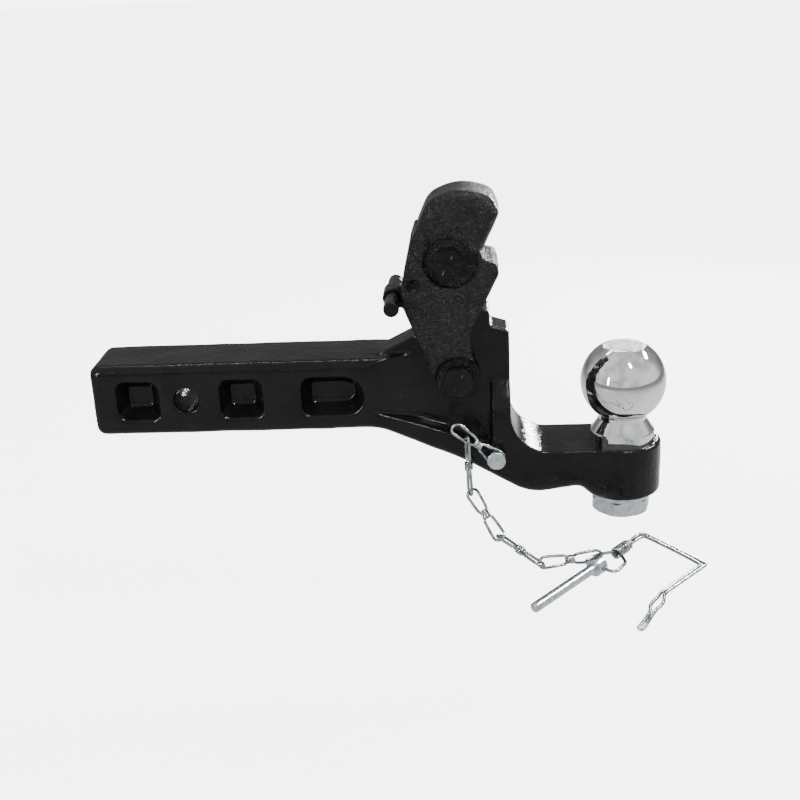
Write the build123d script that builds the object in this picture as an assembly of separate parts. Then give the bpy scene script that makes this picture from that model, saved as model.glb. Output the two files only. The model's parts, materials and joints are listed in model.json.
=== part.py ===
from build123d import *
import math
import os

os.makedirs("parts", exist_ok=True)

# Combination trailer hitch: a two inch square shank, a pintle jaw over a lunette throat,
# and a tow ball on a platform. Millimetres. The origin is the centre of the hitch pin
# hole. +X runs along the shank towards the ball, +Z is up, and the hole lies along Y.

# --- driving sizes -----------------------------------------------------------------
shank_side = 50.8
shank_half = shank_side / 2
shank_back = -66.0
shank_round = 6.0
arm_start = 96.0
arm_round = 7.0
pin_hole_r = 8.75
pocket_depth = 13.0
pocket_height = 29.0
pocket_round = 6.5
pocket_floor_round = 3.0
pocket_slope = 6.8
pocket_bottom_round = 3.0
pocket_rows = [(-49.2, -18.4, False), (22.6, 53.6, False), (79.2, 123.2, True)]
web_half = 12.5

platform_top = -45.0
throat_wall_x = 222.5
flange_back_x = 209.5
ball_x = 300.9
boss_r = 27.0
boss_bottom = -83.0
ball_bolt_r = 12.7
ball_hole_r = 12.9

jaw_pivot = (187.3, 8.6)
latch_pivot = (182.4, 90.4)
jaw_half = 22.2
beak_half = 19.6
beak_round = 6.0
slot_half = 13.0
quadrant_r = 50.0
slot_clear_r = 51.0
bolt_r = 6.35
run_gap = 0.08
side_gap = 0.3
seat_depth = 3.6
seat_r = 15.8
crescent = (184.6, 91.0)
crescent_r = 17.6
head_height = 8.0
head_flats = 19.05

crossbar = (144.8, 63.4)
crossbar_r = 5.3
crossbar_half = 34.5
lock_hole = (159.3, 75.1)
lock_hole_r = 4.2

ball_r = 29.37
ball_z = -2.7
ball_flat_z = 22.7
neck_r = 16.3
collar_r = 22.2
collar_flat = 19.6
collar_h = 7.0
washer_h = 4.6
nut_h = 11.4
nut_turn = 15.5
collar_turn = -3.5
nut_flats = 38.1

stud = (211.8, -45.7)
stud_neck_r = 4.0
chain_plane = -31.0
stud_head_r = 6.4
stud_head_front = -37.3
stud_head_back = -34.0

wire_r = 1.05
link_length = 43.0
link_gap = 3.4
loop_half = 4.0
stud_loop_half = 5.4
floor_z = -96.0
pin_r = 3.3
pin_length = 66.0
pin_head_r = 6.0
bail_wire_r = 1.15


# --- helpers -----------------------------------------------------------------------
def side_face(corners):
    """Flat face on the XZ plane from (x, z, corner radius) rows."""
    points = [(x, z) for x, z, _ in corners]
    radii = [radius for _, _, radius in corners]
    return make_face(FilletPolyline(*points, radius=radii, close=True))


def slab(corners, y_low, y_high):
    """Side outline made solid between two Y planes."""
    plane = Plane(origin=(0, y_high, 0), x_dir=(1, 0, 0), z_dir=(0, -1, 0))
    return extrude(plane * side_face(corners), amount=y_high - y_low)


def cyl_y(centre, radius, y_low, y_high):
    """Cylinder along Y about an (x, z) centre."""
    x, z = centre
    return Pos(x, (y_low + y_high) / 2, z) * Rot(90, 0, 0) * Cylinder(radius, y_high - y_low)


def cyl_z(x, radius, z_low, z_high):
    return Pos(x, 0, (z_low + z_high) / 2) * Cylinder(radius, z_high - z_low)


def box(x_range, y_range, z_range):
    spans = [x_range, y_range, z_range]
    centre = [(low + high) / 2 for low, high in spans]
    return Pos(*centre) * Box(*[high - low for low, high in spans])


def hexagon(flats):
    return RegularPolygon(flats / 2, 6, major_radius=False)


def both_sides(solid):
    return solid + mirror(solid, about=Plane.XZ)


def polar(centre, radius, degrees):
    angle = math.radians(degrees)
    return (centre[0] + radius * math.cos(angle), centre[1] + radius * math.sin(angle))


def save(solid, node):
    solid.label = node
    export_step(solid, f"parts/{node}.step")


# --- hitch body casting ------------------------------------------------------------
def shank():
    """The square bar that slides into the receiver."""
    outline = [
        (shank_back, -shank_half, shank_round + 0.6),
        (arm_start + 4, -shank_half, 0),
        (arm_start + 4, shank_half, 0),
        (shank_back, shank_half, shank_round + 0.6),
    ]
    solid = slab(outline, -shank_half, shank_half)
    side_edges = [
        edge
        for edge in solid.edges()
        if abs(abs(edge.center().Y) - shank_half) < 0.01 and edge.center().X < arm_start + 3
    ]
    return fillet(side_edges, shank_round)


def arm():
    """Arched lower flange, throat wall and ball platform at full width."""
    outline = [
        (arm_start, -shank_half, 0),
        (132.0, -shank_half, 34.0),
        (190.0, -51.5, 90.0),
        (235.0, -78.2, 34.0),
        (269.5, -72.8, 8.0),
        (281.0, boss_bottom, 16.0),
        (ball_x, boss_bottom, 0),
        (ball_x, platform_top, 0),
        (throat_wall_x, platform_top, 27.0),
        (throat_wall_x, shank_half, 0),
        (arm_start, shank_half, 0),
    ]
    solid = slab(outline, -shank_half, shank_half)
    side_edges = [
        edge for edge in solid.edges() if abs(abs(edge.center().Y) - shank_half) < 0.01
    ]
    lower = [edge for edge in side_edges if abs(edge.center().Z + shank_half) < 0.01]
    upper = [edge for edge in side_edges if abs(edge.center().Z - shank_half) < 0.01]
    solid = fillet(lower, arm_round)
    upper = [
        edge
        for edge in solid.edges()
        if abs(abs(edge.center().Y) - shank_half) < 0.01
        and abs(edge.center().Z - shank_half) < 0.01
    ]
    return fillet(upper, shank_round)


def boss():
    solid = cyl_z(ball_x, boss_r, boss_bottom, platform_top)
    rims = solid.edges().filter_by(GeomType.CIRCLE).sort_by(Axis.Z)
    solid = fillet(rims[-1], 2.5)
    return fillet(solid.edges().filter_by(GeomType.CIRCLE).sort_by(Axis.Z)[0], 1.0)


def side_recess():
    """Space beside the web: above the lower flange and behind the throat wall."""
    side = slab(
        [
            (126.0, -11.5, 0),
            (154.0, -20.0, 60.0),
            (182.0, -29.5, 60.0),
            (flange_back_x, -47.0, 6.0),
            (flange_back_x, 4.0, 3.0),
            (throat_wall_x + 30, 6.0, 0),
            (throat_wall_x + 30, 80.0, 0),
            (126.0, 80.0, 0),
        ],
        -60,
        0,
    )
    front_x = throat_wall_x + 30
    outside = [(front_x, -web_half), (front_x, -60), (120, -60), (120, -shank_half)]
    top_view = make_face(
        Polyline(*outside)
        + Spline(
            (120, -shank_half),
            (130, -shank_half + 1.0),
            (157, -web_half - 0.5),
            (166, -web_half),
            tangents=[(1, 0), (1, 0)],
        )
        + Line((166, -web_half), (front_x, -web_half))
    )
    plan = Pos(0, 0, -90) * extrude(top_view, amount=180)
    return side & plan


def web():
    """Thin centre plate with the quadrant that the latch rides on."""
    ramp = slab(
        [
            (90.0, -20.0, 0),
            (90.0, shank_half - 0.01, 0),
            (133.0, shank_half - 0.01, 26.0),
            (159.0, 38.0, 3.0),
            (159.0, 43.0, 0),
            (flange_back_x - 1, 30.0, 0),
            (flange_back_x, -30.0, 0),
        ],
        -web_half,
        web_half,
    )
    disc = cyl_y(jaw_pivot, quadrant_r, -web_half, web_half)
    quadrant = disc & box((158.8, flange_back_x), (-30, 30), (0, 80))
    upstand = slab(
        [
            (flange_back_x - 6, 0.0, 0),
            (flange_back_x - 6, 43.5, 0),
            (flange_back_x, 43.5, 0.6),
            (throat_wall_x, 39.5, 2.5),
            (throat_wall_x, -20.0, 0),
            (flange_back_x - 6, -20.0, 0),
        ],
        -web_half,
        web_half,
    )
    return ramp + quadrant + upstand


def shoulder_cut():
    """Rounds the throat wall from the narrow upstand out to the full width."""
    front_view = make_face(
        Polyline((-web_half, 90), (-60, 90), (-60, -24), (-shank_half - 0.01, -24))
        + Spline((-shank_half - 0.01, -24), (-20, -3.5), (-web_half, 6), tangents=[(0, 1), (0.4, 1)])
        + Line((-web_half, 6), (-web_half, 90))
    )
    plane = Plane(origin=(flange_back_x - 1, 0, 0), x_dir=(0, 1, 0), z_dir=(1, 0, 0))
    return extrude(plane * front_view, amount=60)


def pocket_face(x_left, x_right, height, corner, round_end):
    middle = ((x_left + x_right) / 2, 0)
    if not round_end:
        return Pos(*middle) * RectangleRounded(x_right - x_left, height, corner)
    square = Pos(x_left + height / 3, 0) * RectangleRounded(height / 1.5, height, corner)
    return Pos(*middle) * SlotOverall(x_right - x_left, height) + square


def pocket(x_left, x_right, round_end):
    """Core pocket in one side face of the shank, with sloped walls and a small floor."""
    rim = pocket_face(x_left, x_right, pocket_height, pocket_round, round_end)
    inner = (x_left + pocket_slope, x_right - pocket_slope)
    height = pocket_height - 2 * pocket_slope
    floor = pocket_face(*inner, height, pocket_floor_round, round_end)
    outside = Plane(origin=(0, -shank_half, 0), x_dir=(1, 0, 0), z_dir=(0, -1, 0))
    inside = Plane(origin=(0, -shank_half + pocket_depth, 0), x_dir=(1, 0, 0), z_dir=(0, -1, 0))
    cutter = loft([outside * rim, inside * floor])
    bottom = cutter.faces().sort_by(Axis.Y)[-1]
    return fillet(bottom.edges(), pocket_bottom_round)


def hitch_body():
    solid = shank() + arm() + boss()
    solid -= both_sides(side_recess())
    solid -= both_sides(shoulder_cut())
    solid += web()
    for x_left, x_right, round_end in pocket_rows:
        solid -= both_sides(pocket(x_left, x_right, round_end))
    solid -= cyl_y((0, 0), pin_hole_r, -60, 60)
    solid -= cyl_y(jaw_pivot, bolt_r + run_gap, -60, 60)
    solid -= cyl_z(ball_x, ball_hole_r, boss_bottom - 5, platform_top + 5)
    solid -= cyl_y(stud, stud_neck_r, -60, -shank_half + 12)
    return solid


# --- jaw casting -------------------------------------------------------------------
def jaw():
    solid = jaw_plate() + jaw_beak()
    solid -= jaw_slot()
    lower_half = box((150, 230), (-60, 0), (60, crescent[1] + 5))
    crescent_cut = cyl_y(crescent, crescent_r, -60, -jaw_half + seat_depth) & lower_half
    solid -= both_sides(crescent_cut)
    for centre in [jaw_pivot, latch_pivot]:
        solid -= cyl_y(centre, seat_r, -60, -jaw_half + seat_depth)
        solid -= cyl_y(centre, seat_r, jaw_half - seat_depth, 60)
    solid -= cyl_y(jaw_pivot, bolt_r + run_gap, -60, 60)
    solid -= cyl_y(latch_pivot, bolt_r + run_gap, -60, 60)
    return solid - cyl_y(lock_hole, lock_hole_r, -60, 60)


def jaw_plate():
    """Lower cheeks, from the hinge lobe up to the shoulder behind the beak."""
    outline = [
        (173.2, 3.4, 0),
        (149.4, 67.0, 34.0),
        (157.6, 102.0, 12.0),
        (160.4, 110.6, 1.5),
        (168.8, 110.0, 3.0),
        (171.4, 105.2, 3.0),
        (167.5, 101.3, 0),
        (203.5, 98.7, 0),
        (206.8, 91.2, 1.2),
        (214.0, 89.6, 3.6),
        (216.6, 82.0, 5.0),
        (202.8, 54.7, 30.0),
        (196.0, 38.0, 14.0),
        (197.0, 25.0, 7.0),
        (201.5, 14.0, 0),
        (jaw_pivot[0], jaw_pivot[1] - 6, 0),
    ]
    solid = slab(outline, -jaw_half, jaw_half) + cyl_y(jaw_pivot, 15.0, -jaw_half, jaw_half)
    rim = [
        edge
        for edge in solid.edges()
        if abs(abs(edge.center().Y) - jaw_half) < 0.01 and edge.center().Z > 30
    ]
    return fillet(rim, 1.1)


def jaw_beak():
    """The hooked nose above the upper bolt, with broad rounded edges."""
    outline = [
        (167.0, 84.0, 0),
        (162.6, 112.6, 0),
        (170.6, 131.0, 17.0),
        (192.0, 139.4, 36.0),
        (213.0, 132.4, 10.0),
        (217.6, 121.2, 6.6),
        (206.5, 98.0, 0),
        (199.0, 84.0, 0),
    ]
    solid = slab(outline, -beak_half, beak_half)
    rim = [
        edge
        for edge in solid.edges()
        if abs(abs(edge.center().Y) - beak_half) < 0.01 and edge.center().Z > 99
    ]
    return fillet(rim, beak_round)


def jaw_slot():
    """Gap between the two cheeks for the web, the quadrant and the latch."""
    gap = slab(
        [
            (130.0, -30.0, 0),
            (130.0, 107.0, 0),
            (196.0, 107.0, 8.0),
            (197.5, 92.0, 3.0),
            (204.0, 84.0, 4.0),
            (204.0, 66.0, 4.0),
            (196.0, 56.0, 0),
            (235.0, 30.0, 0),
            (235.0, -30.0, 0),
        ],
        -slot_half,
        slot_half,
    )
    return gap + cyl_y(jaw_pivot, slot_clear_r, -slot_half, slot_half)


# --- latch -------------------------------------------------------------------------
def latch():
    latch_half = 9.0
    toe_back = polar(jaw_pivot, 50.9, 124)
    toe_front = polar(jaw_pivot, 50.9, 113)
    outline = [
        (171.5, 96.0, 0),
        (170.5, 81.0, 4.0),
        (160.5, 68.4, 4.0),
        (147.0, 71.5, 0),
        (crossbar[0], crossbar[1], 0),
        (150.0, 56.6, 4.0),
        (*toe_back, 1.5),
        (*toe_front, 1.5),
        (177.0, 78.5, 8.0),
        (194.0, 84.5, 0),
        (latch_pivot[0], latch_pivot[1] + 4, 0),
    ]
    solid = slab(outline, -latch_half, latch_half)
    solid += cyl_y(latch_pivot, 13.0, -latch_half, latch_half)
    solid += cyl_y(crossbar, 7.2, -latch_half, latch_half)
    solid -= cyl_y(latch_pivot, bolt_r + run_gap, -60, 60)
    solid -= cyl_y(crossbar, crossbar_r, -60, 60)
    return solid


def latch_crossbar():
    solid = cyl_y(crossbar, crossbar_r, -crossbar_half, crossbar_half)
    return chamfer(solid.edges().filter_by(GeomType.CIRCLE), 0.6)


def latch_spring():
    """Torsion spring on the latch bolt: two close coils and one straight leg."""
    coil_r = 8.6
    spring_wire_r = 0.8
    x, z = latch_pivot
    coils = cyl_y(latch_pivot, coil_r + spring_wire_r, -12.7, -9.8)
    coils -= cyl_y(latch_pivot, coil_r - spring_wire_r, -13, -9)
    groove = Pos(x, -11.25, z) * Rot(90, 0, 0) * Torus(coil_r + spring_wire_r, 0.3)
    leg = Pos(x + 5, -11.9, z + coil_r) * Rot(0, 90, 0) * Cylinder(spring_wire_r, 10)
    return coils - groove + leg


# --- fasteners ---------------------------------------------------------------------
def pivot_bolt(centre, gap):
    """Half inch hex bolt: grade marks on the head, head in the near seat."""
    head_face = -jaw_half + seat_depth - gap
    x, z = centre
    plane = Plane(origin=(x, head_face, z), x_dir=(1, 0, 0), z_dir=(0, -1, 0))
    head = extrude(plane * hexagon(head_flats), amount=head_height)
    crown = cyl_y(centre, head_flats / 2 + 0.7, head_face - head_height, head_face)
    solid = (head & crown) + cyl_y(centre, bolt_r, head_face, -head_face + 14.5)
    for turn in range(6):
        mark = box((4.2, 7.6), (-0.35, 0.35), (-0.5, 0.5))
        placed = Plane(origin=(x, head_face - head_height, z), x_dir=(1, 0, 0), z_dir=(0, -1, 0))
        solid -= placed * (Rot(0, 0, 60 * turn) * mark)
    return solid


def pivot_nut(centre, gap):
    x, z = centre
    face = jaw_half - seat_depth + gap
    plane = Plane(origin=(x, face, z), x_dir=(1, 0, 0), z_dir=(0, 1, 0))
    solid = extrude(plane * hexagon(head_flats), amount=11.0)
    solid &= cyl_y(centre, head_flats / 2 + 0.9, face, face + 11.0)
    solid += cyl_y(centre, head_flats / 2 - 0.6, face + 10.9, face + 13.4)
    return solid - cyl_y(centre, bolt_r, face - 1, face + 20)


def tow_ball():
    sphere = Pos(ball_x, 0, ball_z) * Sphere(ball_r)
    sphere -= box((ball_x - 60, ball_x + 60), (-60, 60), (ball_flat_z, ball_flat_z + 60))
    neck = cyl_z(ball_x, neck_r, platform_top + 6, ball_z - 15)
    collar_top = platform_top + collar_h
    collar = cyl_z(ball_x, collar_r, platform_top, collar_top)
    collar = chamfer(collar.edges().filter_by(GeomType.CIRCLE).sort_by(Axis.Z)[-1], 0.8)
    collar += Pos(ball_x, 0, collar_top + 3.9) * Cone(collar_r - 0.8, neck_r + 0.2, 7.8)
    flats = box((-60, 60), (-collar_flat, collar_flat), (-60, 40))
    collar &= Pos(ball_x, 0, 0) * Rot(0, 0, collar_turn) * flats
    bolt = cyl_z(ball_x, ball_bolt_r, boss_bottom - washer_h - nut_h - 2.0, platform_top)
    return sphere + neck + collar + bolt


def ball_lock_washer():
    solid = cyl_z(ball_x, 21.0, boss_bottom - washer_h, boss_bottom)
    solid -= cyl_z(ball_x, ball_bolt_r + 0.1, boss_bottom - 20, boss_bottom + 5)
    return solid - box((ball_x + 5, ball_x + 40), (-1.2, 1.2), (boss_bottom - 20, boss_bottom + 5))


def ball_nut():
    top = boss_bottom - washer_h
    blank = Pos(ball_x, 0, top - nut_h) * Rot(0, 0, nut_turn)
    blank *= extrude(hexagon(nut_flats), amount=nut_h)
    crown = cyl_z(ball_x, nut_flats / 2 + 2.0, top - nut_h, top)
    crown = chamfer(crown.edges().filter_by(GeomType.CIRCLE), 1.5)
    return (blank & crown) - cyl_z(ball_x, ball_bolt_r, top - 30, top + 10)


# --- tether chain ------------------------------------------------------------------
def chain_stud():
    solid = cyl_y(stud, stud_neck_r, stud_head_back - 0.2, -shank_half + 11)
    head = cyl_y(stud, stud_head_r, stud_head_front, stud_head_back)
    return solid + chamfer(head.edges().filter_by(GeomType.CIRCLE), 0.5)


def link_frame(start, along, width):
    """Plane at a link's first apex, with X along the link and Y across its loops."""
    along = Vector(*along).normalized()
    width = Vector(*width)
    width = (width - along * width.dot(along)).normalized()
    return Plane(origin=start, x_dir=along, z_dir=along.cross(width))


def wire_loop(half, length):
    """Open loop of wire from the knot to the apex at X = 0, knot at X = length."""
    path = FilletPolyline(
        (length, 1.4),
        (length - 9.0, half),
        (0, half),
        (0, -half),
        (length - 9.0, -half),
        (length, -1.4),
        radius=[8.0, half - 0.05, half - 0.05, 8.0],
    )
    section = Plane(origin=path @ 0, z_dir=path % 0) * Circle(wire_r)
    return sweep(section, path=path)


def link_solid(first_half):
    """Two loops and the twisted knot between them, along +X."""
    middle = link_length / 2
    first = wire_loop(first_half, middle)
    second = Pos(link_length, 0, 0) * Rot(0, 0, 180) * wire_loop(loop_half, middle)
    knot = Pos(middle, 0, 0) * Rot(0, 90, 0) * Cylinder(2.9, 6.0)
    return first + second + fillet(knot.edges().filter_by(GeomType.CIRCLE), 1.0)


def chain_places():
    """Start, direction and width of each link, worked out from link to link."""
    anchor = Vector(stud[0], chain_plane, stud[1])
    first_dir = Vector(-0.765, 0, 0.644)
    first_width = Vector(0.644, 0, 0.765)
    first_start = anchor - first_dir * (stud_neck_r + wire_r + 0.35)
    rows = [(first_start, first_dir, first_width)]
    hook = first_start + first_dir * (link_length / 2 + 9.5) - first_width * 0.2
    turns = [
        (Vector(0.03, -0.04, -1), Vector(0.31, -0.95, 0.05)),
        (Vector(0.471, -0.705, -0.53), Vector(0.85, 0.19, 0.50)),
        (Vector(0.640, -0.757, -0.13), Vector(-0.66, -0.64, 0.40)),
        (Vector(0.968, 0.249, -0.02), Vector(0, 0.11, 0.99)),
    ]
    for along, width in turns:
        along = along.normalized()
        rows.append((hook, along, width))
        hook = hook + along * (link_length - link_gap)
    return rows


def chain_link(index):
    start, along, width = chain_places()[index]
    half = stud_loop_half if index == 0 else loop_half
    return link_frame(start, along, width) * link_solid(half)


# --- lock pin and bail -------------------------------------------------------------
def pin_frame():
    """X along the pin from its tip to its head, Y across it, level with the floor."""
    return Plane(origin=(273.5, -95.0, floor_z), x_dir=(0.646, 0.763, 0), z_dir=(0, 0, -1))


def lock_pin():
    shaft = Pos(-pin_length / 2, 0, 0) * Rot(0, 90, 0) * Cylinder(pin_r, pin_length)
    shaft = chamfer(shaft.edges().sort_by(Axis.X)[0], 1.0)
    head = Pos(1.5, 0, 0) * Rot(0, 90, 0) * Cylinder(pin_head_r, 9.0)
    solid = shaft + chamfer(head.edges().filter_by(GeomType.CIRCLE), 0.8)
    solid -= Pos(1.5, 0, 0) * Rot(90, 0, 0) * Cylinder(bail_wire_r + 0.35, 30)
    return pin_frame() * solid


def lock_bail():
    """Doubled wire from the hinge eye, round three sides of a square, to the clip end."""
    eye_path = FilletPolyline(
        (25.0, -1.2), (16.0, -9.8), (1.5, -9.8), (1.5, 14.0), (17.0, 12.5), (25.0, 1.2),
        radius=[3.0, 2.4, 3.4, 5.0],
    )
    eye_section = Plane(origin=eye_path @ 0, z_dir=eye_path % 0) * Circle(bail_wire_r)
    eye = sweep(eye_section, path=eye_path)
    coil = Pos(31.5, 0, 0) * Rot(0, 90, 0) * Cylinder(3.0, 15.0)
    leg_path = FilletPolyline(
        (34.0, 0), (56.5, -1.5), (45.5, 52.5), (-2.0, 51.0), (-14.0, 56.5), (-44.0, 63.0),
        radius=[5.0, 5.0, 6.0, 9.0],
    )
    leg_section = Plane(origin=leg_path @ 0, x_dir=(0, 1, 0), z_dir=leg_path % 0)
    legs = sweep(leg_section * SlotOverall(4 * bail_wire_r, 2 * bail_wire_r), path=leg_path)
    return pin_frame() * (eye + coil + legs)


# --- write every piece -------------------------------------------------------------
save(hitch_body(), "hitch_body")
save(jaw(), "jaw")
save(latch(), "latch")
save(latch_crossbar(), "latch_crossbar")
save(latch_spring(), "latch_spring")
save(pivot_bolt(jaw_pivot, side_gap), "jaw_pivot_bolt")
save(pivot_nut(jaw_pivot, side_gap), "jaw_pivot_nut")
save(pivot_bolt(latch_pivot, 0), "latch_pivot_bolt")
save(pivot_nut(latch_pivot, 0), "latch_pivot_nut")
save(tow_ball(), "tow_ball")
save(ball_lock_washer(), "ball_lock_washer")
save(ball_nut(), "ball_nut")
save(chain_stud(), "chain_stud")
for index in range(5):
    save(chain_link(index), f"chain_link_{index + 1}")
save(lock_pin(), "lock_pin")
save(lock_bail(), "lock_bail")
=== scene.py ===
import json
import math

import bmesh
import bpy
from mathutils import Matrix, Vector, noise


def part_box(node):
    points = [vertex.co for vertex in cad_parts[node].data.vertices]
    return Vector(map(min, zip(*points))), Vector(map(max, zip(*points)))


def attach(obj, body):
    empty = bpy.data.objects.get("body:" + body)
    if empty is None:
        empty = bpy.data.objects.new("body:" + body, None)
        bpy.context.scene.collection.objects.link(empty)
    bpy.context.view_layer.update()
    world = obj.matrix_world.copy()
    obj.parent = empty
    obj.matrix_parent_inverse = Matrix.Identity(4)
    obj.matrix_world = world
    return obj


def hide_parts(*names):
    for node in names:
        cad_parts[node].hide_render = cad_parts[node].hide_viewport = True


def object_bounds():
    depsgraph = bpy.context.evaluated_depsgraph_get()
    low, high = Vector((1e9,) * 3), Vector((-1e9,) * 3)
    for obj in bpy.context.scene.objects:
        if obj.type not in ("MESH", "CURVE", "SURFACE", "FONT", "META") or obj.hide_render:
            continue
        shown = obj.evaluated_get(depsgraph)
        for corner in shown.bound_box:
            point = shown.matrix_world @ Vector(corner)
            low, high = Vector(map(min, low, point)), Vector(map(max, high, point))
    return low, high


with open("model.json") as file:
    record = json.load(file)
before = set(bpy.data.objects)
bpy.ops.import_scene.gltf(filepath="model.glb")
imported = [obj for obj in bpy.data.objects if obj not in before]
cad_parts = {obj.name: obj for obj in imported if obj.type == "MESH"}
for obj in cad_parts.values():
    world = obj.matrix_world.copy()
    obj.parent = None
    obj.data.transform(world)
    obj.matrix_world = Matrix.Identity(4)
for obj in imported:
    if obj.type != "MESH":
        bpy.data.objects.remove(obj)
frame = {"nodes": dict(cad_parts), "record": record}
cad_box = [list(corner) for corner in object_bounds()]
MM = 0.001
floor_drop = 0.12  # metres from the lowest point at rest to the floor
floor_half = 9
floor_glow = 5.0  # seen by the camera only
backdrop = 6  # the same for the world behind the floor
joints = {joint["name"]: joint for joint in frame["record"]["behaviour"]["joints"]}


# --- camera, floor and light --------------------------------------------------------
def add_camera():
    """The viewing position and lens: in front of the part, above it, about 0.8 m away."""
    data = bpy.data.cameras.new("camera")
    data.lens = 55.46
    data.sensor_width = 36.0
    data.dof.use_dof = False
    camera = bpy.data.objects.new("camera", data)
    right = Vector((0.9978, 0.0472, -0.0465))
    up = Vector((0.0260, 0.3661, 0.9301))
    back = right.cross(up)
    up = back.cross(right)
    turn = Matrix((right.normalized(), up.normalized(), back.normalized())).transposed()
    camera.matrix_world = Matrix.Translation((0.1984, -0.8052, 0.3021)) @ turn.to_4x4()
    bpy.context.scene.collection.objects.link(camera)
    bpy.context.scene.camera = camera


def add_light(name, place, target, size, power):
    """A rectangular light that the camera can't see, only its light and reflections."""
    data = bpy.data.lights.new(name, "AREA")
    data.shape = "RECTANGLE"
    data.size, data.size_y = size
    data.energy = power
    light = bpy.data.objects.new(name, data)
    light.location = place
    aim = Vector(target) - Vector(place)
    light.rotation_euler = aim.to_track_quat("-Z", "Y").to_euler()
    light.visible_camera = False
    bpy.context.scene.collection.objects.link(light)


def add_floor():
    """Well below the part, because the chain hangs lower at some joint limits than at rest."""
    z = cad_box[0][2] - floor_drop
    corners = [(-1, -1), (1, -1), (1, 1), (-1, 1)]
    mesh = bpy.data.meshes.new("floor")
    mesh.from_pydata([(x * floor_half, y * floor_half, z) for x, y in corners], [], [(0, 1, 2, 3)])
    floor = bpy.data.objects.new("floor", mesh)
    bpy.context.scene.collection.objects.link(floor)
    material = bpy.data.materials.new("floor_pale")
    material.use_nodes = True
    nodes = material.node_tree.nodes
    links = material.node_tree.links
    shader = nodes["Principled BSDF"]
    shader.inputs["Base Color"].default_value = (0.36, 0.36, 0.36, 1)
    shader.inputs["Roughness"].default_value = 0.9
    shader.inputs["Specular IOR Level"].default_value = 0.1
    glow = nodes.new("ShaderNodeEmission")
    glow.inputs["Strength"].default_value = floor_glow
    both = nodes.new("ShaderNodeAddShader")
    pick = nodes.new("ShaderNodeMixShader")
    path = nodes.new("ShaderNodeLightPath")
    links.new(shader.outputs["BSDF"], both.inputs[0])
    links.new(glow.outputs["Emission"], both.inputs[1])
    links.new(path.outputs["Is Camera Ray"], pick.inputs["Fac"])
    links.new(shader.outputs["BSDF"], pick.inputs[1])
    links.new(both.outputs["Shader"], pick.inputs[2])
    links.new(pick.outputs["Shader"], nodes["Material Output"].inputs["Surface"])
    mesh.materials.append(material)


def add_world():
    """A slightly cloudy studio, darker behind the part, so gloss has something to show."""
    world = bpy.data.worlds.new("studio")
    world.use_nodes = True
    nodes = world.node_tree.nodes
    links = world.node_tree.links
    background = nodes["Background"]
    background.inputs["Strength"].default_value = 1.0
    place = nodes.new("ShaderNodeTexCoord")
    clouds = nodes.new("ShaderNodeTexNoise")
    clouds.inputs["Scale"].default_value = 1.7
    clouds.inputs["Detail"].default_value = 3.0
    ramp = nodes.new("ShaderNodeValToRGB")
    ramp.color_ramp.elements[0].position = 0.36
    ramp.color_ramp.elements[0].color = (0.60, 0.60, 0.61, 1)
    ramp.color_ramp.elements[1].position = 0.58
    ramp.color_ramp.elements[1].color = (1.05, 1.05, 1.06, 1)
    links.new(place.outputs["Generated"], clouds.inputs["Vector"])
    links.new(clouds.outputs["Fac"], ramp.inputs["Fac"])
    split = nodes.new("ShaderNodeSeparateXYZ")
    links.new(place.outputs["Generated"], split.inputs["Vector"])
    behind = nodes.new("ShaderNodeMapRange")
    behind.inputs["From Min"].default_value = 0.1
    behind.inputs["From Max"].default_value = 0.7
    behind.inputs["To Min"].default_value = 1.0
    behind.inputs["To Max"].default_value = 0.30
    links.new(split.outputs["Y"], behind.inputs["Value"])
    shade = nodes.new("ShaderNodeVectorMath")
    shade.operation = "SCALE"
    links.new(ramp.outputs["Color"], shade.inputs["Vector"])
    links.new(behind.outputs["Result"], shade.inputs["Scale"])
    path = nodes.new("ShaderNodeLightPath")
    mix = nodes.new("ShaderNodeMix")
    mix.data_type = "RGBA"
    mix.inputs["B"].default_value = (backdrop, backdrop, backdrop, 1)
    links.new(path.outputs["Is Camera Ray"], mix.inputs["Factor"])
    links.new(shade.outputs["Vector"], mix.inputs["A"])
    links.new(mix.outputs["Result"], background.inputs["Color"])
    bpy.context.scene.world = world


add_camera()
add_floor()
add_world()
# name, place, aim along X, size (all in metres) and power in watts
lights = [
    ("key", (0.62, -0.70, 1.15), 0.20, (0.06, 0.28), 15),
    ("side", (-0.60, -0.85, 0.24), 0.16, (0.05, 0.40), 7),
    ("back", (0.62, 1.00, 0.24), 0.25, (0.10, 0.45), 16),
    ("rim", (0.95, 0.30, 0.62), 0.22, (0.30, 0.09), 14),
    ("top", (0.05, 0.55, 1.10), 0.16, (1.00, 0.06), 4),
]
for name, place, aim_x, size, power in lights:
    add_light(name, place, (aim_x, 0, 0), size, power)


# --- materials ----------------------------------------------------------------------
def principled(name, colour, metallic):
    material = bpy.data.materials.new(name)
    material.use_nodes = True
    shader = material.node_tree.nodes["Principled BSDF"]
    shader.inputs["Base Color"].default_value = (*colour, 1)
    shader.inputs["Metallic"].default_value = metallic
    return material, shader


def add_noise(material, scale, detail):
    nodes = material.node_tree.nodes
    links = material.node_tree.links
    place = nodes.new("ShaderNodeTexCoord")
    texture = nodes.new("ShaderNodeTexNoise")
    texture.inputs["Scale"].default_value = scale
    texture.inputs["Detail"].default_value = detail
    links.new(place.outputs["Object"], texture.inputs["Vector"])
    return texture.outputs["Fac"]


def remap(material, value, low, high):
    node = material.node_tree.nodes.new("ShaderNodeMapRange")
    node.inputs["From Min"].default_value = 0.3
    node.inputs["From Max"].default_value = 0.7
    node.inputs["To Min"].default_value = low
    node.inputs["To Max"].default_value = high
    material.node_tree.links.new(value, node.inputs["Value"])
    return node.outputs["Result"]


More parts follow.
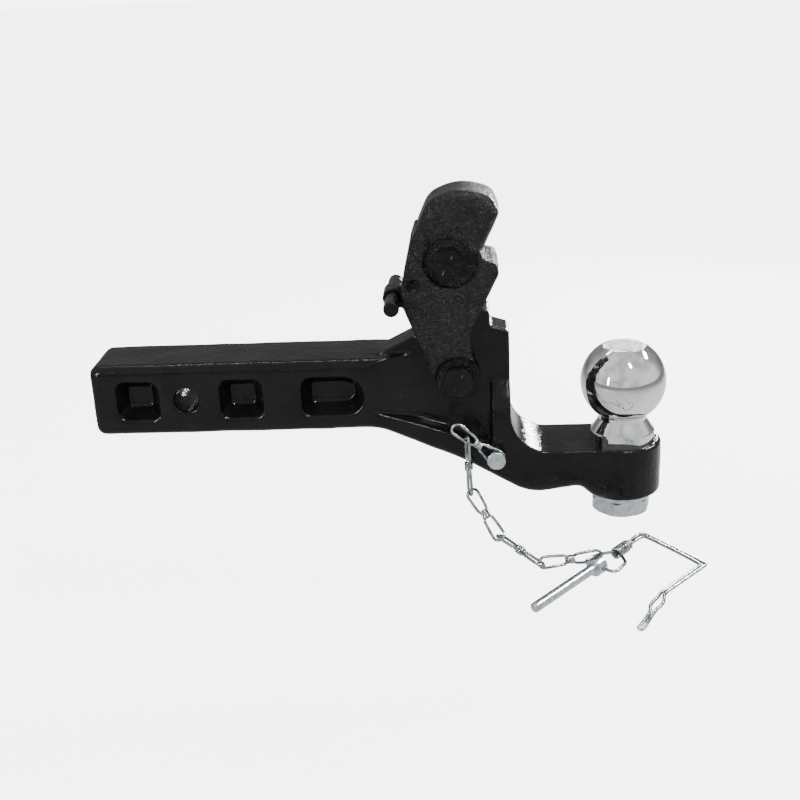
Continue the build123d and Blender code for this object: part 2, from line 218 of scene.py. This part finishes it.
def tint(material, value, dark, light):
    node = material.node_tree.nodes.new("ShaderNodeValToRGB")
    node.color_ramp.elements[0].position = 0.35
    node.color_ramp.elements[0].color = (*dark, 1)
    node.color_ramp.elements[1].position = 0.65
    node.color_ramp.elements[1].color = (*light, 1)
    material.node_tree.links.new(value, node.inputs["Fac"])
    return node.outputs["Color"]


def bump(material, value, depth, under=None):
    node = material.node_tree.nodes.new("ShaderNodeBump")
    node.inputs["Distance"].default_value = depth
    node.inputs["Strength"].default_value = 1.0
    material.node_tree.links.new(value, node.inputs["Height"])
    if under is not None:
        material.node_tree.links.new(under, node.inputs["Normal"])
    return node.outputs["Normal"]


def paint_material(name, grain_scale, grain_depth, gloss=(0.08, 0.16), patch=(42, 0.0030, 0.0060)):
    """Thick gloss black over cast iron: orange peel, a grain from the sand, dull patches."""
    material, shader = principled(name, (0.004, 0.004, 0.0042), 0)
    links = material.node_tree.links
    shader.inputs["Specular IOR Level"].default_value = 0.22
    scale, dark, light = patch
    patches = add_noise(material, scale, 2)
    links.new(tint(material, patches, (dark, dark, dark), (light, light * 0.97, light * 0.94)),
              shader.inputs["Base Color"])
    links.new(remap(material, add_noise(material, 120, 4), *gloss), shader.inputs["Roughness"])
    peel = bump(material, add_noise(material, 260, 2), 0.00035)
    links.new(bump(material, add_noise(material, grain_scale, 2), grain_depth, peel),
              shader.inputs["Normal"])
    return material


def chrome_material():
    material, shader = principled("chrome", (0.80, 0.81, 0.83), 1)
    links = material.node_tree.links
    links.new(remap(material, add_noise(material, 90, 5), 0.035, 0.085), shader.inputs["Roughness"])
    links.new(tint(material, add_noise(material, 60, 4), (0.74, 0.75, 0.77), (0.86, 0.87, 0.88)),
              shader.inputs["Base Color"])
    links.new(bump(material, add_noise(material, 190, 3), 0.00004), shader.inputs["Normal"])
    return material


def zinc_material(name, dark=(0.40, 0.47, 0.50), light=(0.62, 0.68, 0.70), gloss=(0.14, 0.30),
                  marks=0.00008):
    """Bright zinc plate: cool, a little cloudy, with fine marks."""
    material, shader = principled(name, light, 1)
    links = material.node_tree.links
    links.new(tint(material, add_noise(material, 230, 4), dark, light), shader.inputs["Base Color"])
    links.new(remap(material, add_noise(material, 420, 4), *gloss), shader.inputs["Roughness"])
    links.new(bump(material, add_noise(material, 1500, 3), marks), shader.inputs["Normal"])
    return material


paint = paint_material("black_paint", 700, 0.00014)
pebbled = paint_material("black_paint_pebbled", 700, 0.0018, (0.08, 0.14), (700, 0.0025, 0.0085))
chrome = chrome_material()
hammered = zinc_material("chrome_hammered", (0.30, 0.31, 0.31), (0.85, 0.86, 0.86), (0.08, 0.22),
                         0.0009)
zinc = zinc_material("zinc")
wire_zinc = zinc_material("zinc_wire", (0.17, 0.21, 0.21), (0.47, 0.53, 0.52), (0.10, 0.24))
spring_steel = zinc_material("spring_steel", (0.16, 0.16, 0.17), (0.34, 0.33, 0.32), (0.25, 0.45))


# --- helpers for pieces -------------------------------------------------------------
def add_piece(name, mesh, body, slot_name, material, *nodes):
    for polygon in mesh.polygons:
        polygon.use_smooth = True
    mesh.materials.clear()
    mesh.materials.append(material)
    piece = bpy.data.objects.new(name, mesh)
    bpy.context.scene.collection.objects.link(piece)
    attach(piece, body)
    if nodes:
        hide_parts(*nodes)
    return piece


def soft_copy(node, voxel, rounds):
    """A copy of a CAD node's mesh, remeshed evenly, with its sharp edges eased."""
    mesh = frame["nodes"][node].data.copy()
    work = bmesh.new()
    work.from_mesh(mesh)
    bmesh.ops.remove_doubles(work, verts=work.verts, dist=1e-6)
    work.to_mesh(mesh)
    work.free()
    scratch = bpy.data.objects.new("scratch", mesh)
    bpy.context.scene.collection.objects.link(scratch)
    remesh = scratch.modifiers.new("remesh", "REMESH")
    remesh.mode = "VOXEL"
    remesh.voxel_size = voxel
    ease = scratch.modifiers.new("ease", "SMOOTH")
    ease.factor = 0.5
    ease.iterations = rounds
    graph = bpy.context.evaluated_depsgraph_get()
    result = bpy.data.meshes.new_from_object(scratch.evaluated_get(graph))
    bpy.data.objects.remove(scratch)
    return result


def roughen(mesh, rows):
    """Moves each point a little along its normal: rows of (size in metres, height in metres)."""
    normals = [vertex.normal.copy() for vertex in mesh.vertices]
    for vertex, normal in zip(mesh.vertices, normals):
        shift = 0.0
        for size, height in rows:
            shift += height * noise.noise(vertex.co / size)
        vertex.co += normal * shift


def painted_casting(node, body, voxel, rounds, rows, material):
    mesh = soft_copy(node, voxel, rounds)
    roughen(mesh, rows)
    return add_piece(node + "_cast", mesh, body, "black_paint", material, node)


def smooth_path(points, steps, closed=False):
    """Catmull-Rom points through the given points."""
    count = len(points)
    spans = count if closed else count - 1
    result = []
    for index in range(spans):
        p1 = points[index]
        p2 = points[(index + 1) % count]
        p0 = points[index - 1] if closed or index > 0 else p1 * 2 - p2
        last = index + 2 < count or closed
        p3 = points[(index + 2) % count] if last else p2 * 2 - p1
        for step in range(steps):
            t = step / steps
            a = p1 * 2 + (p2 - p0) * t
            b = (p0 * 2 - p1 * 5 + p2 * 4 - p3) * (t * t)
            c = (p1 * 3 - p0 - p2 * 3 + p3) * (t * t * t)
            result.append((a + b + c) * 0.5)
    if not closed:
        result.append(points[-1].copy())
    return result


def tube(path, radius, sides=12, closed=False):
    """Round wire along a path, with domed ends where it is open."""
    vertices = []
    faces = []
    count = len(path)
    tangent = (path[1] - path[0]).normalized()
    side = tangent.orthogonal().normalized()
    for index, point in enumerate(path):
        before = path[index - 1] if index > 0 or closed else point
        after = path[(index + 1) % count] if index + 1 < count or closed else point
        tangent = (after - before).normalized()
        side = (side - tangent * side.dot(tangent)).normalized()
        up = tangent.cross(side)
        for corner in range(sides):
            angle = 2 * math.pi * corner / sides
            vertices.append(point + (side * math.cos(angle) + up * math.sin(angle)) * radius)
    rings = count if closed else count - 1
    for ring in range(rings):
        start = ring * sides
        follow = ((ring + 1) % count) * sides
        for corner in range(sides):
            near = (corner + 1) % sides
            faces.append((start + corner, start + near, follow + near, follow + corner))
    if not closed:
        for end, point, inner in [(0, path[0], path[1]), (count - 1, path[-1], path[-2])]:
            tip = len(vertices)
            vertices.append(point + (point - inner).normalized() * radius * 0.5)
            for corner in range(sides):
                near = (corner + 1) % sides
                edge = (end * sides + corner, end * sides + near)
                faces.append((edge[1], edge[0], tip) if end == 0 else (edge[0], edge[1], tip))
    return vertices, faces


def join(shapes):
    """One mesh from several (vertices, faces) shapes."""
    vertices = []
    faces = []
    for shape_vertices, shape_faces in shapes:
        offset = len(vertices)
        vertices += shape_vertices
        faces += [tuple(corner + offset for corner in face) for face in shape_faces]
    mesh = bpy.data.meshes.new("wire")
    mesh.from_pydata(vertices, [], faces)
    work = bmesh.new()
    work.from_mesh(mesh)
    bmesh.ops.recalc_face_normals(work, faces=work.faces)
    work.to_mesh(mesh)
    work.free()
    return mesh


def helix(start, axis, side, radius, pitch, turns, phase=0.0, steps=20):
    """Points of a helix about a line."""
    other = axis.cross(side)
    points = []
    total = int(turns * steps)
    for index in range(total + 1):
        angle = phase + 2 * math.pi * index / steps
        centre_line = start + axis * (pitch * index / steps)
        points.append(centre_line + (side * math.cos(angle) + other * math.sin(angle)) * radius)
    return points


# --- castings and painted hardware ---------------------------------------------------
body_rows = [(0.018, 0.00026), (0.006, 0.00006)]
cheek_rows = [(0.014, 0.00020), (0.0036, 0.00005), (0.0020, 0.00005)]
painted_casting("hitch_body", "hitch", 0.001, 7, body_rows, paint)
painted_casting("jaw", "jaw", 0.0008, 7, cheek_rows, pebbled)
painted_casting("latch", "latch", 0.0008, 7, cheek_rows, pebbled)
painted_casting("latch_crossbar", "latch", 0.0005, 5, [(0.006, 0.0001)], paint)
for bolt, body in [("jaw_pivot", "hitch"), ("latch_pivot", "jaw")]:
    painted_casting(bolt + "_bolt", body, 0.0003, 3, [(0.004, 0.00008)], paint)
    painted_casting(bolt + "_nut", body, 0.0005, 4, [(0.004, 0.0001)], paint)


# --- tow ball -----------------------------------------------------------------------
def ball_top():
    """Hammered flat on top of the ball."""
    low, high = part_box("tow_ball")
    middle = Vector(((low[0] + high[0]) / 2, (low[1] + high[1]) / 2, high[2]))
    rings = 56
    around = 220
    radius = 0.0146
    vertices = [middle.copy()]
    for ring in range(1, rings + 1):
        distance = radius * ring / rings
        for step in range(around):
            angle = 2 * math.pi * step / around
            point = middle + Vector((math.cos(angle), math.sin(angle), 0)) * distance
            rough = noise.noise(point / 0.0008) + 0.5 * noise.noise(point / 0.0005)
            fade = min(1.0, (radius - distance) / 0.0015)
            point.z += 0.00055 * max(0.0, rough + 0.35) * fade + 0.00002
            vertices.append(point)
    faces = [(0, 1 + step, 1 + (step + 1) % around) for step in range(around)]
    for ring in range(rings - 1):
        for step in range(around):
            near = (step + 1) % around
            a = 1 + ring * around
            b = a + around
            faces.append((a + step, b + step, b + near, a + near))
    mesh = bpy.data.meshes.new("ball_top")
    mesh.from_pydata(vertices, [], faces)
    add_piece("ball_top", mesh, "hitch", "chrome", hammered)


frame["nodes"]["tow_ball"].data.materials.clear()
frame["nodes"]["tow_ball"].data.materials.append(chrome)
ball_top()


# --- zinc hardware ------------------------------------------------------------------
def zinc_piece(node, body, voxel, rounds):
    add_piece(node + "_plated", soft_copy(node, voxel, rounds), body, "zinc", zinc, node)


for node in ["ball_nut", "ball_lock_washer"]:
    frame["nodes"][node].data.materials.clear()
    frame["nodes"][node].data.materials.append(zinc)
zinc_piece("chain_stud", "hitch", 0.00035, 2)
zinc_piece("lock_pin", "lock_pin", 0.00035, 2)


# --- tether chain -------------------------------------------------------------------
loop_half = 3.9


def link_shapes(start, along, width, first_half):
    """One bent wire: two loops and the wrap that ties them in the middle."""
    wire = 0.00105
    length = 43
    cross_lift = 0.35  # how far the two ends part where they cross at the knot
    normal = along.cross(width)

    def at(x, y, z=0.0):
        return start + along * (x * MM) + width * (y * MM) + normal * (z * MM)

    shapes = []
    for half, flip in [(first_half, False), (loop_half, True)]:
        rows = [(21.5, 0.62), (20.4, 0.9), (19.0, 2.1), (17.3, 3.0)]
        rows += [(14.8, 3.35), (10.4, (3.4 + half) / 2), (half, half)]
        arc = [(half - half * math.cos(math.radians(a)), half * math.sin(math.radians(a)))
               for a in (60, 30, 0, -30, -60)]
        rows += arc
        rows += [(x, -y) for x, y in reversed(rows[:7])]
        path = []
        for index, (x, y) in enumerate(rows):
            place = length - x if flip else x
            turn = -y if flip else y
            lift = 0
            if index < 2:
                lift = cross_lift
            elif index > 16:
                lift = -cross_lift
            path.append(at(place, turn, lift))
        shapes.append(tube(smooth_path(path, 5), wire))
    for x, turns, phase in [(19.1, 2.1, 0.4), (21.5, 2.1, 2.6)]:
        wrap = helix(at(x, 0), along, width, 0.0021, 0.00125, turns, phase, 16)
        tail = wrap[-1] + (wrap[-1] - wrap[-2]) * 1.4
        shapes.append(tube(wrap + [tail], wire * 0.92, 10))
    return shapes


def chain():
    """Each link runs from its own joint to the next one, so the loops stay hooked."""
    names = ["chain_swing"] + [f"link_{number}_swing" for number in range(2, 6)] + ["bail_swing"]
    stud_loop = 5.4
    places = [Vector(joints[name]["pos_m"]) for name in names]
    for index in range(5):
        along = (places[index + 1] - places[index]).normalized()
        start = places[index]
        if index == 0:
            start = start - along * (stud_loop * MM)
            width = along.cross(Vector((0, 1, 0)))
        else:
            width = Vector(joints[names[index]]["axis"])
        width = (width - along * width.dot(along)).normalized()
        half = stud_loop if index == 0 else loop_half
        mesh = join(link_shapes(start, along, width, half))
        node = f"chain_link_{index + 1}"
        add_piece(node + "_wire", mesh, f"link_{index + 1}", "zinc", wire_zinc, node)


chain()


# --- bail ---------------------------------------------------------------------------
def bail():
    """One long wire doubled back on itself: eye, wrapped neck, three sides and a clip end."""
    hinge = Vector(joints["lock_pin_hinge"]["pos_m"])
    across = Vector(joints["lock_pin_hinge"]["axis"])
    along = Vector((-across.y, across.x, 0)).normalized()
    origin = hinge - along * (1.5 * MM)
    up = Vector((0, 0, 1))
    wire = 0.00115

    def at(u, v, z=0.0):
        return origin + along * (u * MM) + across * (v * MM) + up * (z * MM)

    eye_rows = [(34, -1.15), (26, -1.3), (22.0, -3.6), (17.0, -6.6), (11, -8.6), (6, -9.2), (2.6, -8.8)]
    eye_rows += [(1.5, -6.5), (1.5, 0), (1.5, 9), (2.0, 12.2), (5.0, 13.8), (11.5, 13.0), (17.0, 11.6)]
    eye_rows += [(21.5, 6.5), (25.5, 1.4), (34, 1.15)]
    shapes = [tube(smooth_path([at(u, v) for u, v in eye_rows], 5), wire)]
    neck = helix(at(22.6, 0), along, across, 0.0030, 0.00245, 6.0, 0.3, 18)
    shapes.append(tube(neck, wire * 0.95, 10))
    outer = [(34, -1.15), (44, -2.0), (52, -2.7), (56.2, -1.2), (57.4, 3.0), (54.2, 19), (50.4, 37)]
    outer += [(47.3, 51.0), (45.6, 53.6), (42, 53.8), (20, 53.1), (2, 52.6), (-4, 53.8), (-9.5, 56.9)]
    outer += [(-15.1, 58.4), (-21, 58.8), (-32, 61.4), (-42.4, 64.1), (-45.0, 64.0), (-45.6, 62.6)]
    outer += [(-44.2, 61.4), (-38, 60.2), (-30, 58.4), (-23.5, 56.2), (-19.5, 53.6), (-14, 52.2)]
    outer += [(-8, 51.6), (-2, 50.3), (4, 50.3), (20, 50.8), (40, 51.4), (43.2, 50.6), (44.6, 48.6)]
    outer += [(48.0, 36.6), (51.8, 19), (54.6, 4.4), (54.0, 1.6), (51.4, 0.6), (44, 0.4), (34, 1.15)]
    shapes.append(tube(smooth_path([at(u, v) for u, v in outer], 6), wire))
    add_piece("lock_bail_wire", join(shapes), "bail", "zinc", wire_zinc, "lock_bail")


bail()


# --- latch spring -------------------------------------------------------------------
def latch_spring():
    """Torsion spring round the upper bolt, with one leg against the jaw."""
    coil_r = 0.0083
    coil_pitch = 0.001155
    wire = 0.00078
    low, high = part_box("latch_spring")
    place = joints["latch_lift"]["pos_m"]
    start = Vector((place[0], low[1] + 0.0009, place[2]))
    axis = Vector((0, 1, 0))
    coils = helix(start, axis, Vector((0, 0, 1)), coil_r, coil_pitch, 1.0, 0.0, 28)
    leg = [coils[0] + Vector((0.010, 0, 0.0)), coils[0] + Vector((0.004, 0, 0.0001))]
    mesh = join([tube(leg + coils, wire, 10)])
    add_piece("latch_spring_wire", mesh, "jaw", "spring_steel", spring_steel, "latch_spring")


latch_spring()
